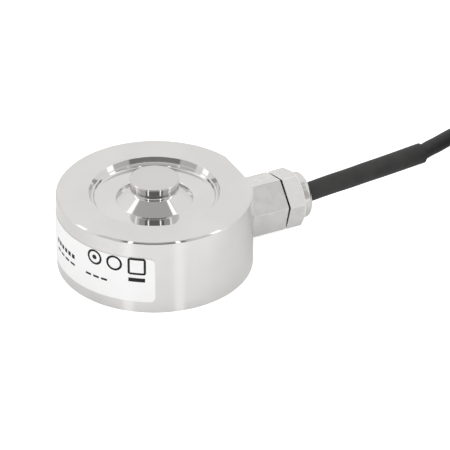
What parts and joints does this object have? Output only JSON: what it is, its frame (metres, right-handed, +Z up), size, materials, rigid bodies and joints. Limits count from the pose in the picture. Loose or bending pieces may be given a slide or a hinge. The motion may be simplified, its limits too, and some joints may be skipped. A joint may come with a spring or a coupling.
{
  "type": "compression load cell",
  "caption": "Low round steel compression load cell with a domed load button in a recessed top, a side cable gland and a coiled signal cable with flying leads.",
  "frame": {"origin": "centre of the mounting base, in the plane that the body stands on", "axes": "+Z up along the body's axis through the load button, +X along the cable gland"},
  "size_m": [0.2212, 0.0875, 0.0298],
  "materials": {
    "body_steel": "fine turned stainless steel",
    "cover_steel": "plain ground",
    "gland_metal": "nickel-plated, satin",
    "label_film": "white film, printed in grey",
    "gauge_foil": "foil on amber film",
    "copper_wire": "enamelled copper",
    "board_green": "green solder mask",
    "resistor_black": "plain",
    "seal_rubber": "plain",
    "washer_nylon": "natural nylon",
    "jacket_black": "smooth cable jacket",
    "sleeve_black": "shrunk sleeve",
    "tie_black": "moulded nylon",
    "core_red": "wire insulation",
    "core_black": "wire insulation",
    "core_green": "wire insulation",
    "core_white": "wire insulation",
    "shield_yellow": "sleeved drain wire",
    "tinned_wire": "tinned copper strands"
  },
  "bodies": {
    "root": {"sensor_body": "body_steel", "base_cover": "cover_steel", "label": "label_film", "strain_gauge_1": "gauge_foil", "strain_gauge_2": "gauge_foil", "strain_gauge_3": "gauge_foil", "strain_gauge_4": "gauge_foil", "gauge_wires_1": "copper_wire", "gauge_wires_2": "copper_wire", "gauge_wires_3": "copper_wire", "gauge_wires_4": "copper_wire", "terminal_board": "board_green", "bridge_resistor_1": "resistor_black", "bridge_resistor_2": "resistor_black", "bridge_resistor_3": "resistor_black", "gland_gasket": "seal_rubber", "gland_body": "gland_metal", "cable_seal": "seal_rubber", "slip_washer": "washer_nylon", "gland_nut": "gland_metal", "cable_in_gland": "jacket_black", "core_red": "core_red", "core_black": "core_black", "core_green": "core_green", "core_white": "core_white", "drain_wire": "tinned_wire", "heat_shrink_sleeve": "sleeve_black", "cable": "jacket_black", "cable_coil": "jacket_black", "coil_tie_1": "tie_black", "coil_tie_2": "tie_black", "cable_tail": "jacket_black", "lead_red": "core_red", "lead_black": "core_black", "lead_green": "core_green", "lead_white": "core_white", "lead_shield": "shield_yellow"}
  },
  "joints": []
}
